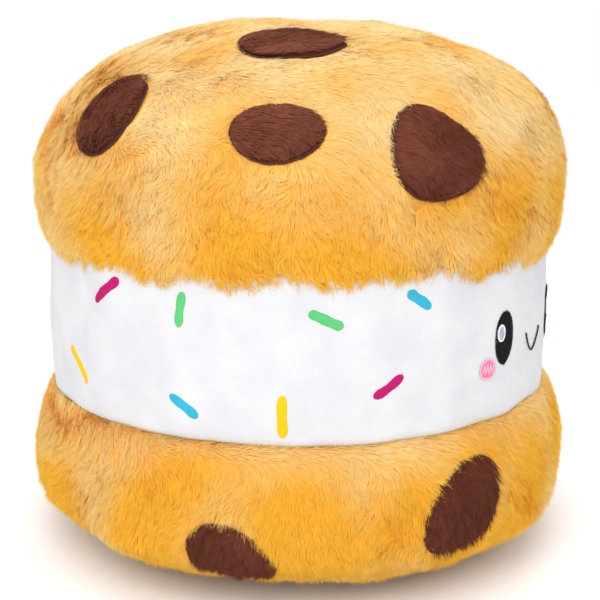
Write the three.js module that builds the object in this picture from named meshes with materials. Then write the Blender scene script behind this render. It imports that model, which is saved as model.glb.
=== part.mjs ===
// A stuffed toy in the shape of a cookie ice cream sandwich.
//
// Two plump furry cookies hold a soft white band of ice cream between them. Brown chip patches
// are sewn on the cookies, short coloured sprinkles run round the band, and a small
// face sits on the band's front. Millimetres, +Z up, origin on the floor under the middle,
// the face looks along -Y.

import * as THREE from 'three';

// Driving dimensions.
const HEIGHT = 355;
const BOTTOM_RADIUS = 186;
const BOTTOM_WAIST_Z = 55;
const FOOT_RADIUS = 65;
const BAND_BOTTOM_Z = 116;
const BAND_TOP_Z = 206;
const BAND_EDGE_RADIUS = 169;
const BAND_BULGE = 2.5;
const TOP_RADIUS = 181;
const TOP_WAIST_Z = 248;
const TOP_SEAM_RADIUS = 165;
const BOTTOM_SEAM_RADIUS = 168;
const SEAM_GAP = 0.3;

// Fullness of the stuffed outlines: the two exponents of each superellipse quarter.
const FOOT_FULLNESS = [3.37, 1.63];
const LIP_FULLNESS = [2, 2];
const DOME_FULLNESS = [2.24, 2.24];

// Facets.
const ROUND_STEPS = 52;
const PROFILE_STEPS = 8;
const PATCH_ROUND_STEPS = 16;
const PATCH_RINGS = 7;
const STRIP_CAP_STEPS = 2;
const STRIP_ROUND_STEPS = 6;
const STRIP_LENGTH_STEPS = 2;
const THREAD_STEPS = 14;
const THREAD_ROUND_STEPS = 3;

// Trim sewn on the surface.
const TRIM_GAP = 0.5;
const CHIP_GAP = 0.9;
const CHIP_THICKNESS = 2.2;
const CHIP_LOBE_TURN = 0.6;
const SPRINKLE_WIDTH = 6.2;
const SPRINKLE_LENGTH = 22;
const SPRINKLE_THICKNESS = 1.2;
const FACE_Z = 163;
const FACE_AZIMUTH = 1.8;
const EYE_SIZE = [19.8, 35.5];
const EYE_AZIMUTH = 14;
const EYE_THICKNESS = 1.2;
const GLINT_SIZE = [7, 10.5];
const GLINT_OFFSET = [-4.4, 3.8];
const GLINT_THICKNESS = 0.8;
const CHEEK_SIZE = 13.6;
const CHEEK_AZIMUTH = 19.1;
const CHEEK_Z = 145.5;
const CHEEK_THICKNESS = 1;
const SMILE_HALF_WIDTH = 10.8;
const SMILE_DEPTH = 12.5;
const SMILE_BOTTOM_Z = 146.3;
const SMILE_THREAD = 0.8;
const SMILE_STEPS = [-1, -0.7, 0, 0.7, 1];

const fabric = (colour, roughness = 0.95) =>
  new THREE.MeshStandardMaterial({ color: colour, roughness, metalness: 0 });

const MATERIAL = {
  cookieFur: fabric('#eab45c'),
  chipFur: fabric('#643527'),
  iceCream: fabric('#f6f5fa'),
  pink: fabric('#cf2a86'),
  green: fabric('#5fd678'),
  blue: fabric('#3dbbdb'),
  yellow: fabric('#fcd834'),
  eye: fabric('#141012', 0.7),
  glint: fabric('#fbfbff', 0.6),
  cheek: fabric('#fb9fc0', 0.8),
  smile: fabric('#2c2226', 0.7),
};

/**
 * One quarter of a stuffed outline: from the widest ring to an edge ring, as [radius, z] pairs.
 */
function stuffedQuarter(wideRadius, wideZ, edgeRadius, edgeZ, [rise, fall]) {
  const points = [];
  for (let i = 0; i <= PROFILE_STEPS; i++) {
    const t = Math.sin((i / PROFILE_STEPS) * Math.PI / 2);
    const spread = (1 - t ** rise) ** (1 / fall);
    points.push([edgeRadius + (wideRadius - edgeRadius) * spread, wideZ + (edgeZ - wideZ) * t]);
  }
  return points;
}

/** Outline of a solid of revolution from its lower edge to its upper edge. */
function outline(lowerQuarter, upperQuarter) {
  return [...lowerQuarter.reverse(), ...upperQuarter.slice(1)].map(([r, z]) => new THREE.Vector2(r, z));
}

const bottomOutline = outline(
  stuffedQuarter(BOTTOM_RADIUS, BOTTOM_WAIST_Z, FOOT_RADIUS, 0, FOOT_FULLNESS),
  stuffedQuarter(BOTTOM_RADIUS, BOTTOM_WAIST_Z, BOTTOM_SEAM_RADIUS, BAND_BOTTOM_Z - SEAM_GAP, LIP_FULLNESS),
);

const topOutline = outline(
  stuffedQuarter(TOP_RADIUS, TOP_WAIST_Z, TOP_SEAM_RADIUS, BAND_TOP_Z + SEAM_GAP, LIP_FULLNESS),
  stuffedQuarter(TOP_RADIUS, TOP_WAIST_Z, 0, HEIGHT, DOME_FULLNESS),
);

const bandOutline = (() => {
  const middle = (BAND_BOTTOM_Z + BAND_TOP_Z) / 2;
  const half = (BAND_TOP_Z - BAND_BOTTOM_Z) / 2;
  const points = [];
  for (let i = 0; i <= PROFILE_STEPS; i++) {
    const t = -1 + (2 * i) / PROFILE_STEPS;
    points.push(new THREE.Vector2(BAND_EDGE_RADIUS + BAND_BULGE * (1 - t * t), middle + half * t));
  }
  return points;
})();

/** A closed solid of revolution about +Z whose flat ends reach the axis. */
function turned(profile) {
  const first = profile[0];
  const last = profile[profile.length - 1];
  const closed = [...profile];
  if (first.x > 0) closed.unshift(new THREE.Vector2(0, first.y));
  if (last.x > 0) closed.push(new THREE.Vector2(0, last.y));
  return new THREE.LatheGeometry(closed, ROUND_STEPS).rotateX(Math.PI / 2);
}

/**
 * Finds the place on an outline at a height, and walks from there along the outline.
 * Returns a function of the distance walked upwards that gives radius, z and the outward normal.
 */
function meridianAt(profile, height) {
  const lengths = [0];
  for (let i = 1; i < profile.length; i++) {
    lengths.push(lengths[i - 1] + profile[i].distanceTo(profile[i - 1]));
  }
  const above = profile.findIndex((point) => point.y > height);
  const below = above - 1;
  const part = (height - profile[below].y) / (profile[above].y - profile[below].y);
  const start = lengths[below] + part * (lengths[above] - lengths[below]);
  return (walked) => {
    const target = THREE.MathUtils.clamp(start + walked, 0, lengths[lengths.length - 1]);
    const next = Math.max(1, lengths.findIndex((length) => length >= target));
    const from = profile[next - 1];
    const step = profile[next].clone().sub(from);
    const share = (target - lengths[next - 1]) / (lengths[next] - lengths[next - 1]);
    step.normalize();
    return {
      radius: THREE.MathUtils.lerp(from.x, profile[next].x, share),
      z: THREE.MathUtils.lerp(from.y, profile[next].y, share),
      normal: new THREE.Vector2(step.y, -step.x),
    };
  };
}

/**
 * Lays a flat piece on the surface at azimuth zero: its x runs round, its y runs up the outline
 * and its z stands off the surface.
 */
function layOnSurface(geometry, profile, height) {
  const walk = meridianAt(profile, height);
  const place = geometry.attributes.position;
  for (let i = 0; i < place.count; i++) {
    const spot = walk(place.getY(i));
    const azimuth = place.getX(i) / spot.radius;
    const radius = spot.radius + spot.normal.x * place.getZ(i);
    place.setXYZ(
      i,
      radius * Math.sin(azimuth),
      -radius * Math.cos(azimuth),
      spot.z + spot.normal.y * place.getZ(i),
    );
  }
  return geometry;
}

/** A round-edged patch of a width and height, whose lowest point stands a gap off the surface. */
function patch(width, height, thickness, lobe = 0, gap = TRIM_GAP) {
  const geometry = new THREE.SphereGeometry(0.5, PATCH_ROUND_STEPS, PATCH_RINGS).rotateX(Math.PI / 2);
  const place = geometry.attributes.position;
  for (let i = 0; i < place.count; i++) {
    const angle = Math.atan2(place.getY(i), place.getX(i));
    const swell = 1 + lobe * Math.sin(3 * angle + CHIP_LOBE_TURN);
    place.setX(i, place.getX(i) * swell);
    place.setY(i, place.getY(i) * swell);
  }
  return geometry.scale(width, height, thickness).translate(0, 0, gap + thickness / 2);
}

const sandwich = new THREE.Group();

/** Adds a named mesh turned about the upright axis by an azimuth in degrees from the face. */
function add(name, geometry, material, azimuth = 0) {
  const mesh = new THREE.Mesh(geometry, material.clone());
  mesh.name = name;
  mesh.rotation.z = THREE.MathUtils.degToRad(azimuth);
  sandwich.add(mesh);
}

add('bottom_cookie', turned(bottomOutline), MATERIAL.cookieFur);
add('ice_cream_band', turned(bandOutline), MATERIAL.iceCream);
add('top_cookie', turned(topOutline), MATERIAL.cookieFur);

// Chip patches: azimuth, height on the cookie, width, height along the surface, tilt, lobe.
const TOP_CHIPS = [
  [-106.2, 302.7, 60, 49, 58, 0.03],
  [-63.5, 342, 68, 45, 0, 0.02],
  [-64.5, 296, 55, 35, 3, 0.02],
  [-32.4, 283.5, 61, 55, -35, 0.08],
  [42, 297, 60, 44, 20, 0.03],
  [92, 331, 66, 46, -15, 0.04],
  [118, 290, 56, 40, 35, 0.02],
  [150, 304, 60, 46, -30, 0.05],
  [-168, 281, 58, 42, 12, 0.03],
];
const BOTTOM_CHIPS = [
  [-26.7, 65.5, 69, 46, 49, 0.03],
  [-74, 37, 58, 42, -22, 0.03],
  [47, 58, 60, 44, 15, 0.04],
  [117, 72, 64, 46, -32, 0.03],
  [160, 46, 58, 42, 24, 0.04],
  [-157, 66, 66, 47, -14, 0.03],
];

function addChips(prefix, chips, profile) {
  chips.forEach(([azimuth, height, width, depth, tilt, lobe], index) => {
    const chip = patch(width, depth, CHIP_THICKNESS, lobe, CHIP_GAP)
      .rotateZ(THREE.MathUtils.degToRad(tilt));
    add(`${prefix}_chip_${index + 1}`, layOnSurface(chip, profile, height), MATERIAL.chipFur, azimuth);
  });
}

addChips('top', TOP_CHIPS, topOutline);
addChips('bottom', BOTTOM_CHIPS, bottomOutline);

// Sprinkles on the side that the toy is usually shown from: colour, azimuth, height, tilt, length.
const SPRINKLES = [
  ['pink', -103.2, 196, 38, 28],
  ['green', -84.4, 191.2, 80, SPRINKLE_LENGTH],
  ['green', -54.9, 188.2, -24, SPRINKLE_LENGTH],
  ['blue', -35.8, 197, -38, 19],
  ['pink', -42.1, 145.6, 34, SPRINKLE_LENGTH],
  ['yellow', -114.3, 141.6, -40, 29],
  ['blue', -83.7, 132.6, -33, SPRINKLE_LENGTH],
  ['yellow', -63.5, 130, 90, 26],
];

// The rest go on round the back at an even step, their heights and tilts spread by the golden ratio.
const COLOURS = ['green', 'pink', 'blue', 'yellow'];
const GOLDEN = 0.618;
const BACK_START = 36;
const BACK_STEP = 11.6;
const BACK_COUNT = 16;
const BACK_HEIGHTS = [132, 190];
const BACK_TILTS = [-80, 80];
const TILTS_TO_A_HEIGHT = 5;
for (let i = 0; i < BACK_COUNT; i++) {
  const spread = (GOLDEN * (i + 1)) % 1;
  SPRINKLES.push([
    COLOURS[i % COLOURS.length],
    BACK_START + BACK_STEP * i,
    THREE.MathUtils.lerp(...BACK_HEIGHTS, spread),
    THREE.MathUtils.lerp(...BACK_TILTS, (spread * TILTS_TO_A_HEIGHT) % 1),
    SPRINKLE_LENGTH,
  ]);
}

const counts = {};
for (const [colour, azimuth, height, tilt, length] of SPRINKLES) {
  counts[colour] = (counts[colour] ?? 0) + 1;
  const steps = [STRIP_CAP_STEPS, STRIP_ROUND_STEPS, STRIP_LENGTH_STEPS];
  const strip = new THREE.CapsuleGeometry(SPRINKLE_WIDTH / 2, length - SPRINKLE_WIDTH, ...steps)
    .rotateZ(THREE.MathUtils.degToRad(tilt - 90))
    .scale(1, 1, SPRINKLE_THICKNESS / SPRINKLE_WIDTH)
    .translate(0, 0, TRIM_GAP + SPRINKLE_THICKNESS / 2);
  const name = `sprinkle_${colour}_${counts[colour]}`;
  add(name, layOnSurface(strip, bandOutline, height), MATERIAL[colour], azimuth);
}

// The face: two upright oval eyes with a glint each, two round cheeks and a stitched smile.
for (const [side, sign] of [['left', -1], ['right', 1]]) {
  const eyeAzimuth = FACE_AZIMUTH + sign * EYE_AZIMUTH;
  const cheekAzimuth = FACE_AZIMUTH + sign * CHEEK_AZIMUTH;
  const eye = patch(...EYE_SIZE, EYE_THICKNESS);
  add(`eye_${side}`, layOnSurface(eye, bandOutline, FACE_Z), MATERIAL.eye, eyeAzimuth);
  const glint = patch(...GLINT_SIZE, GLINT_THICKNESS)
    .translate(GLINT_OFFSET[0], GLINT_OFFSET[1], EYE_THICKNESS);
  add(`glint_${side}`, layOnSurface(glint, bandOutline, FACE_Z), MATERIAL.glint, eyeAzimuth);
  const cheek = patch(CHEEK_SIZE, CHEEK_SIZE, CHEEK_THICKNESS);
  add(`cheek_${side}`, layOnSurface(cheek, bandOutline, CHEEK_Z), MATERIAL.cheek, cheekAzimuth);
}

/** A round thread along a U laid on the band. */
function smileThread() {
  const path = new THREE.CatmullRomCurve3(
    SMILE_STEPS.map((t) => new THREE.Vector3(t * SMILE_HALF_WIDTH, SMILE_DEPTH * t * t, 0)),
  );
  const section = new THREE.Shape().absarc(0, 0, SMILE_THREAD, 0, 2 * Math.PI);
  const steps = { steps: THREAD_STEPS, curveSegments: THREAD_ROUND_STEPS };
  return new THREE.ExtrudeGeometry(section, { ...steps, extrudePath: path })
    .translate(0, 0, TRIM_GAP + SMILE_THREAD);
}
add('smile', layOnSurface(smileThread(), bandOutline, SMILE_BOTTOM_Z), MATERIAL.smile, FACE_AZIMUTH);

export default sandwich;
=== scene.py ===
"""Looks of a stuffed toy in the shape of a cookie ice cream sandwich.

Two furry cookies hold a white velour band. The cookies are stuffed cloth bodies with a long pile of
separate strands, chip patches of short brown pile with a stitched edge, printed sprinkles on the
band and an embroidered face. All lengths are in metres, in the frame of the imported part: +Z up,
origin on the floor under the middle, the face looking along -Y.
"""

from __future__ import annotations

import logging
import math
from dataclasses import dataclass, field, replace
from enum import Enum

import bpy
import numpy as np
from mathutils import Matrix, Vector
from mathutils.geometry import convex_hull_2d


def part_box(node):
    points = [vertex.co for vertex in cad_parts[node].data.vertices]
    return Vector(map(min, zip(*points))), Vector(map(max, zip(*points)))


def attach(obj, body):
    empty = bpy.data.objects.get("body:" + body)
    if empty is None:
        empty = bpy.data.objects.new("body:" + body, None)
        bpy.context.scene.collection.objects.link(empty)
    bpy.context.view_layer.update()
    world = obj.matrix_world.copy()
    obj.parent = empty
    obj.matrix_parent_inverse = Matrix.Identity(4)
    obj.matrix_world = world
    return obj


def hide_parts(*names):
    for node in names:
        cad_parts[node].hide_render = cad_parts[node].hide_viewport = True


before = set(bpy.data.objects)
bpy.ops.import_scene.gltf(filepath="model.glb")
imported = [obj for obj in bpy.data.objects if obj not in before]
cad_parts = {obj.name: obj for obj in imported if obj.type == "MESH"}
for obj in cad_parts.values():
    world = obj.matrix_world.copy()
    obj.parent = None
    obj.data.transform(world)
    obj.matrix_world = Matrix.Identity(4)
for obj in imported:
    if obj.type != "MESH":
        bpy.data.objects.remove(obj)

MM = 0.001
ROOT = "root"
LOG = logging.getLogger("sandwich_toy")

Array = np.ndarray


# --- small helpers -------------------------------------------------------------------------------


def unit(vectors: Array) -> Array:
    """Returns the vectors scaled to length one."""
    return vectors / np.maximum(np.linalg.norm(vectors, axis=-1, keepdims=True), 1e-12)


def turn_about(vectors: Array, axes: Array, angles: Array) -> Array:
    """Turns vectors about unit axes that are square to them.

    Args:
        vectors: One vector a row.
        axes: One unit axis a row, square to its vector.
        angles: One angle a row, in radians.

    Returns:
        The turned vectors.
    """
    angles = np.asarray(angles)[..., None]
    return vectors * np.cos(angles) + np.cross(axes, vectors) * np.sin(angles)


class Waves:
    """A smooth random field: a sum of plane waves of about one wavelength."""

    def __init__(self, wavelength: float, seed: int, count: int = 18) -> None:
        """Draws the wave directions and phases.

        Args:
            wavelength: The mean distance between crests.
            seed: The seed of the draw.
            count: How many waves are summed.
        """
        draw = np.random.default_rng(seed)
        spread = draw.uniform(0.7, 1.4, count)
        self.vectors = unit(draw.normal(size=(count, 3))) * (2 * math.pi / wavelength * spread)[:, None]
        self.phases = draw.uniform(0, 2 * math.pi, count)

    def at(self, points: Array) -> Array:
        """Returns the field at points, with a spread of about one."""
        return np.sin(points @ self.vectors.T + self.phases).sum(axis=-1) * math.sqrt(2 / len(self.phases))


@dataclass(frozen=True)
class Tufts:
    """Scattered tuft centres, one in each cell of a cubic lattice."""

    size: float
    seed: int

    def _draw(self, cells: Array, channel: int) -> Array:
        """Returns a number from 0 to 1 for each cell and channel."""
        mixed = cells[..., 0] * 127.1 + cells[..., 1] * 311.7 + cells[..., 2] * 74.7
        return np.modf(np.abs(np.sin(mixed + channel * 53.3 + self.seed * 17.9)) * 43758.5453)[0]

    def nearest(self, points: Array) -> tuple[Array, Array]:
        """Finds each point's nearest tuft centre.

        Args:
            points: One point a row.

        Returns:
            The centres, and three random numbers of each point's tuft.
        """
        base = np.floor(points / self.size)
        best = np.full(len(points), np.inf)
        centres = np.zeros_like(points)
        owner = np.zeros_like(points)
        for step in np.ndindex(3, 3, 3):
            cells = base + np.array(step) - 1
            jitter = np.stack([self._draw(cells, channel) for channel in range(3)], axis=-1)
            spot = (cells + jitter) * self.size
            distance = ((spot - points) ** 2).sum(axis=-1)
            closer = distance < best
            best = np.where(closer, distance, best)
            centres[closer] = spot[closer]
            owner[closer] = cells[closer]
        return centres, np.stack([self._draw(owner, channel) for channel in (4, 5, 6)], axis=-1)


def mesh_object(name: str, points: Array, faces: list[Array]) -> bpy.types.Object:
    """Makes an object from points and groups of faces.

    Args:
        name: The object's name.
        points: One point a row.
        faces: Arrays of point numbers, each with one face a row.

    Returns:
        The new object, linked to the scene.
    """
    mesh = bpy.data.meshes.new(name)
    totals = np.concatenate([np.full(len(group), group.shape[1]) for group in faces])
    loops = np.concatenate([group.ravel() for group in faces])
    mesh.vertices.add(len(points))
    mesh.vertices.foreach_set("co", np.asarray(points, dtype=np.float32).ravel())
    mesh.loops.add(len(loops))
    mesh.loops.foreach_set("vertex_index", loops.astype(np.int32))
    mesh.polygons.add(len(totals))
    mesh.polygons.foreach_set("loop_start", np.concatenate([[0], np.cumsum(totals)[:-1]]).astype(np.int32))
    mesh.polygons.foreach_set("loop_total", totals.astype(np.int32))
    mesh.update(calc_edges=True)
    mesh.polygons.foreach_set("use_smooth", np.ones(len(totals), dtype=bool))
    obj = bpy.data.objects.new(name, mesh)
    bpy.context.scene.collection.objects.link(obj)
    return obj


def mesh_points(mesh: bpy.types.Mesh) -> Array:
    """Reads a mesh's points.

    Args:
        mesh: The mesh.

    Returns:
        One point a row.
    """
    points = np.empty(len(mesh.vertices) * 3, dtype=np.float32)
    mesh.vertices.foreach_get("co", points)
    return points.reshape(-1, 3).astype(float)


def add_point_colour(obj: bpy.types.Object, name: str, values: Array) -> None:
    """Stores three numbers a point as a colour attribute.

    Args:
        obj: The object.
        name: The attribute's name.
        values: Three numbers a row.
    """
    layer = obj.data.color_attributes.new(name, "FLOAT_COLOR", "POINT")
    colour = np.ones((len(values), 4), dtype=np.float32)
    colour[:, :3] = values
    layer.data.foreach_set("color", colour.ravel())


def add_point_uv(obj: bpy.types.Object, name: str, places: Array) -> None:
    """Stores a UV map from one place a point.

    Args:
        obj: The object.
        name: The map's name.
        places: One place a row.
    """
    layer = obj.data.uv_layers.new(name=name)
    corners = np.empty(len(obj.data.loops), dtype=np.int32)
    obj.data.loops.foreach_get("vertex_index", corners)
    layer.data.foreach_set("uv", places[corners].astype(np.float32).ravel())


def finish_piece(obj: bpy.types.Object, slot: str, *nodes: str) -> None:
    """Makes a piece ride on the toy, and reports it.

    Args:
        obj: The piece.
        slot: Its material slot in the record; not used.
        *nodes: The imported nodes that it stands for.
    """
    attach(obj, ROOT)
    if nodes:
        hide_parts(*nodes)
    LOG.info("%s: %d faces", obj.name, len(obj.data.polygons))


# --- shader graphs -------------------------------------------------------------------------------


class Wire:
    """One output of a shader graph, which arithmetic operators extend by Math nodes."""

    def __init__(self, graph: Graph, socket: bpy.types.NodeSocket) -> None:
        """Keeps the graph and the output socket."""
        self.graph = graph
        self.socket = socket

    def _math(self, operation: str, *values: Wire | float) -> Wire:
        """Adds a Math node that takes the values in order."""
        return self.graph.add("ShaderNodeMath", {"operation": operation}, dict(enumerate(values)))

    def __add__(self, other: Wire | float) -> Wire:
        """Returns the sum."""
        return self._math("ADD", self, other)

    __radd__ = __add__

    def __sub__(self, other: Wire | float) -> Wire:
        """Returns the difference."""
        return self._math("SUBTRACT", self, other)

    def __rsub__(self, other: Wire | float) -> Wire:
        """Returns the difference the other way round."""
        return self._math("SUBTRACT", other, self)

    def __mul__(self, other: Wire | float) -> Wire:
        """Returns the product."""
        return self._math("MULTIPLY", self, other)

    __rmul__ = __mul__

    def clamped(self) -> Wire:
        """Returns the value held between zero and one."""
        return self.graph.add("ShaderNodeClamp", {}, {"Value": self})


class Graph:
    """The node graph of one material, around its Principled shader."""

    def __init__(self, name: str) -> None:
        """Makes a material with a bare Principled shader.

        Args:
            name: The material's name.
        """
        self.material = bpy.data.materials.new(name)
        self.material.use_nodes = True
        self.tree = self.material.node_tree
        self.shader = self.tree.nodes["Principled BSDF"]

    def plug(self, socket: bpy.types.NodeSocket, value: Wire | float | tuple) -> None:
        """Links a wire into a socket, or sets the socket's value.

        Args:
            socket: The input socket.
            value: A wire, a number or a colour.
        """
        if isinstance(value, Wire):
            self.tree.links.new(value.socket, socket)
        elif isinstance(value, tuple) and socket.type == "RGBA" and len(value) == 3:
            socket.default_value = (*value, 1.0)
        else:
            socket.default_value = value

    def add(self, kind: str, settings: dict, inputs: dict, output: int | str = 0) -> Wire:
        """Adds a node.

        Args:
            kind: The node's type name.
            settings: Properties, set before the inputs.
            inputs: Values or wires by input name or number.
            output: The output to return.

        Returns:
            The chosen output.
        """
        node = self.tree.nodes.new(kind)
        for key, value in settings.items():
            setattr(node, key, value)
        for key, value in inputs.items():
            self.plug(node.inputs[key], value)
        return Wire(self, node.outputs[output])

    def mix(self, factor: Wire | float, first: Wire | tuple, second: Wire | tuple) -> Wire:
        """Blends two colours."""
        settings = {"data_type": "RGBA"}
        return self.add("ShaderNodeMix", settings, {0: factor, 6: first, 7: second}, 2)

    def tint(self, colour: Wire | tuple, amount: Wire) -> Wire:
        """Multiplies a colour by a grey amount.

        Args:
            colour: The colour.
            amount: The share of it that is kept.

        Returns:
            The darkened colour.
        """
        grey = self.add("ShaderNodeCombineColor", {}, {0: amount, 1: amount, 2: amount})
        settings = {"data_type": "RGBA", "blend_type": "MULTIPLY"}
        return self.add("ShaderNodeMix", settings, {0: 1.0, 6: colour, 7: grey}, 2)

    def noise(self, scale: float, detail: float = 2.0) -> Wire:
        """Returns a noise value over the object's own coordinates."""
        place = self.add("ShaderNodeTexCoord", {}, {}, "Object")
        return self.add("ShaderNodeTexNoise", {}, {"Vector": place, "Scale": scale, "Detail": detail})

    def bump(self, height: Wire, depth: float) -> None:
        """Feeds a bump of a height field, of a depth in metres, to the shader's normal."""
        inputs = {"Height": height, "Distance": depth, "Strength": 1.0}
        self.plug(self.shader.inputs["Normal"], self.add("ShaderNodeBump", {}, inputs))

    def set(self, **values: Wire | float | tuple) -> None:
        """Sets the shader's inputs, whose spaces are written as underscores."""
        for key, value in values.items():
            self.plug(self.shader.inputs[key.replace("_", " ")], value)


Colour = tuple[float, float, float]


@dataclass(frozen=True)
class PileFinish:
    """Colours of a pile of strands, from the root to the tip: the deep root is painted shade down in the
    pile, and the pale tip is a painted highlight.
    """

    name: str
    root: Colour
    body: Colour
    tip: Colour
    deep_body: Colour
    deep_tip: Colour
    spread: float = 0.12

    def material(self) -> bpy.types.Material:
        """Makes the material, which reads the strands' own pile attribute.

        Returns:
            The pile's material.
        """
        graph = Graph(self.name)
        pile = graph.add("ShaderNodeAttribute", {"attribute_name": "pile"}, {}, "Color")
        parts = graph.tree.nodes.new("ShaderNodeSeparateColor")
        graph.plug(parts.inputs[0], pile)
        along, strand, patch = (Wire(graph, socket) for socket in parts.outputs)
        # The third channel, the depth of colour, blends towards the deep colours: partly the pile's own
        # tone, partly painted light and shade.
        body = graph.mix(patch, self.body, self.deep_body)
        tip = graph.mix(patch, self.tip, self.deep_tip)
        low = graph.mix((along * 2.5).clamped(), self.root, body)
        colour = graph.mix((along * 1.6 - 0.6).clamped(), low, tip)
        colour = graph.tint(colour, strand * self.spread + (1 - self.spread / 2))
        graph.set(Base_Color=colour, Roughness=0.9, Specular_IOR_Level=0.1)
        return graph.material


@dataclass(frozen=True)
class ClothFinish:
    """A plain cloth with a fine nap."""

    name: str
    colour: Colour
    shade: Colour
    roughness: float = 0.95
    grain: float = 900.0
    grain_depth: float = 0.25 * MM
    sheen: float = 0.3

    def material(self) -> bpy.types.Material:
        """Makes the material from fine and broad noise over the object's coordinates.

        Returns:
            The cloth's material.
        """
        graph = Graph(self.name)
        broad = ((graph.noise(38.0, 3.0) - 0.35) * 2.4).clamped()
        graph.set(
            Base_Color=graph.mix(broad, self.shade, self.colour),
            Roughness=self.roughness,
            Specular_IOR_Level=0.2,
            Sheen_Weight=self.sheen,
            Sheen_Roughness=0.6,
        )
        graph.bump(graph.noise(self.grain, 1.0), self.grain_depth)
        return graph.material


@dataclass(frozen=True)
class ThreadFinish:
    """Shiny embroidery thread."""

    name: str
    colour: Colour
    roughness: float = 0.45

    def material(self) -> bpy.types.Material:
        """Makes the material with a slight change of tone from thread to thread.

        Returns:
            The thread's material.
        """
        graph = Graph(self.name)
        colour = graph.tint(self.colour, graph.noise(1400.0, 1.0) * 0.5 + 0.75)
        graph.set(Base_Color=colour, Roughness=self.roughness, Specular_IOR_Level=0.15)
        return graph.material


# --- stuffed surfaces ----------------------------------------------------------------------------


@dataclass(frozen=True)
class Quarter:
    """A quarter of a stuffed outline, from its widest ring to an edge ring."""

    wide_radius: float
    wide_z: float
    edge_radius: float
    edge_z: float
    rise: float
    fall: float

    def points(self, steps: int = 60) -> Array:
        """Walks the quarter from its widest ring.

        Args:
            steps: How many points it has.

        Returns:
            Radius and height, one point a row.
        """
        t = np.sin(np.linspace(0, math.pi / 2, steps))
        spread = np.maximum(1 - t**self.rise, 0) ** (1 / self.fall)
        radius = self.edge_radius + (self.wide_radius - self.edge_radius) * spread
        return np.stack([radius, self.wide_z + (self.edge_z - self.wide_z) * t], axis=-1)


@dataclass(frozen=True)
class Dent:
    """A soft hollow or swelling at a place on a surface."""

    azimuth: float
    z: float
    radius: float
    depth: float


# A surface's swell has broad waves and finer ones, which are this much shorter and lower.
FINE_WAVE = 0.35
# Next to a seam the surface keeps this share of its swell.
SEAM_SWELL = 0.2


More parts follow.
